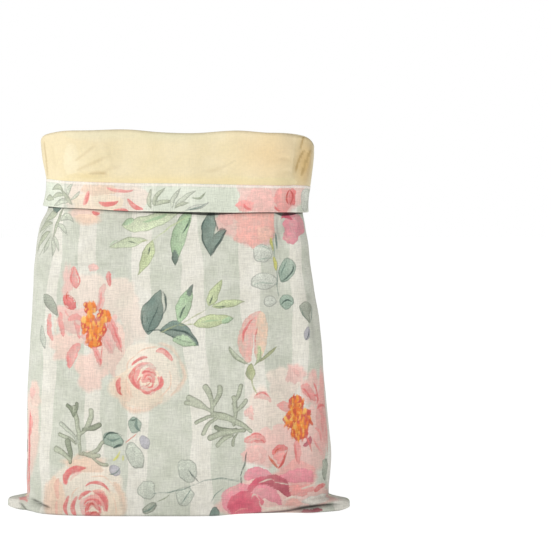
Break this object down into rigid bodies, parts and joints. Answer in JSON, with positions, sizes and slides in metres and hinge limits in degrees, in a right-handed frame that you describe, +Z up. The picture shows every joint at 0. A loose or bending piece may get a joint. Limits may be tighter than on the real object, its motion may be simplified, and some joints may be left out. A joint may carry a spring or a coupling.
{
  "type": "bread bag",
  "caption": "Cloth bread bag standing open on its end, its mouth turned down outside as a cuff that shows a beeswax-coated lining above a printed hem band.",
  "frame": {"origin": "on the ground, under the middle of the bag's overall box", "axes": "+Z up from the base to the mouth, +Y from the front panel to the back panel, +X to the right as seen from the front"},
  "size_m": [0.3406, 0.1182, 0.3764],
  "materials": {
    "printed_cloth": "plain woven cotton and linen, printed with soft sage stripes, roses, peonies and leaf sprays",
    "waxed_cloth": "cotton coated with beeswax, pale yellow with a soft gloss"
  },
  "bodies": {
    "root": {"outer_front": "printed_cloth", "outer_back": "printed_cloth", "lining_front": "waxed_cloth", "lining_back": "waxed_cloth"}
  },
  "joints": []
}
